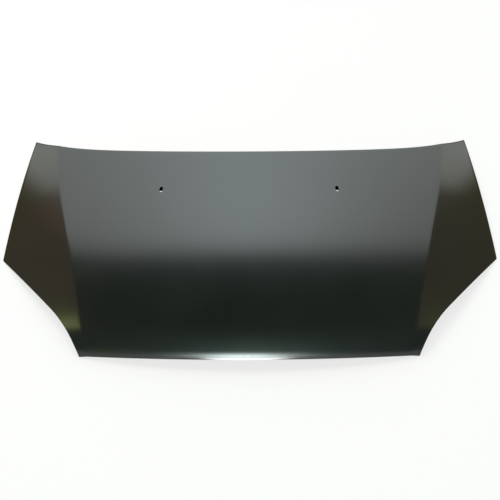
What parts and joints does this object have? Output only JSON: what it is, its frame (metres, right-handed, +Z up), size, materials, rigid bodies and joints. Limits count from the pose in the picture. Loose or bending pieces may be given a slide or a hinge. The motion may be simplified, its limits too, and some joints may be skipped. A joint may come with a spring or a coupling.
{
  "type": "car bonnet",
  "caption": "Pressed steel car bonnet: crowned outer skin hemmed over a windowed inner frame, with washer jet slots, hinge pads and a latch striker.",
  "frame": {"origin": "middle of the panel's box in plan, at the height of the hem corners it lies on", "axes": "+X across the vehicle, -Y towards the front edge, +Z up out of the crowned outer face"},
  "size_m": [1.471, 0.7554, 0.1261],
  "materials": {
    "skin_ecoat": "semi-gloss black electrocoat primer",
    "frame_ecoat": "satin black electrocoat primer",
    "zinc": "zinc plated steel",
    "mastic": "matt anti-flutter mastic"
  },
  "bodies": {
    "root": {"outer_skin": "skin_ecoat", "inner_frame": "frame_ecoat", "hinge_reinforcement_left": "frame_ecoat", "hinge_reinforcement_right": "frame_ecoat", "striker_reinforcement": "frame_ecoat", "hinge_nut_left_front": "zinc", "hinge_nut_left_rear": "zinc", "hinge_nut_right_front": "zinc", "hinge_nut_right_rear": "zinc", "striker_base_plate": "zinc", "striker_loop": "zinc", "mastic_dot_01": "mastic", "mastic_dot_02": "mastic", "mastic_dot_03": "mastic", "mastic_dot_04": "mastic", "mastic_dot_05": "mastic", "mastic_dot_06": "mastic", "mastic_dot_07": "mastic", "mastic_dot_08": "mastic", "mastic_dot_09": "mastic", "mastic_dot_10": "mastic", "mastic_dot_11": "mastic", "mastic_dot_12": "mastic", "mastic_dot_13": "mastic", "mastic_dot_14": "mastic", "mastic_dot_15": "mastic", "mastic_dot_16": "mastic"}
  },
  "joints": []
}
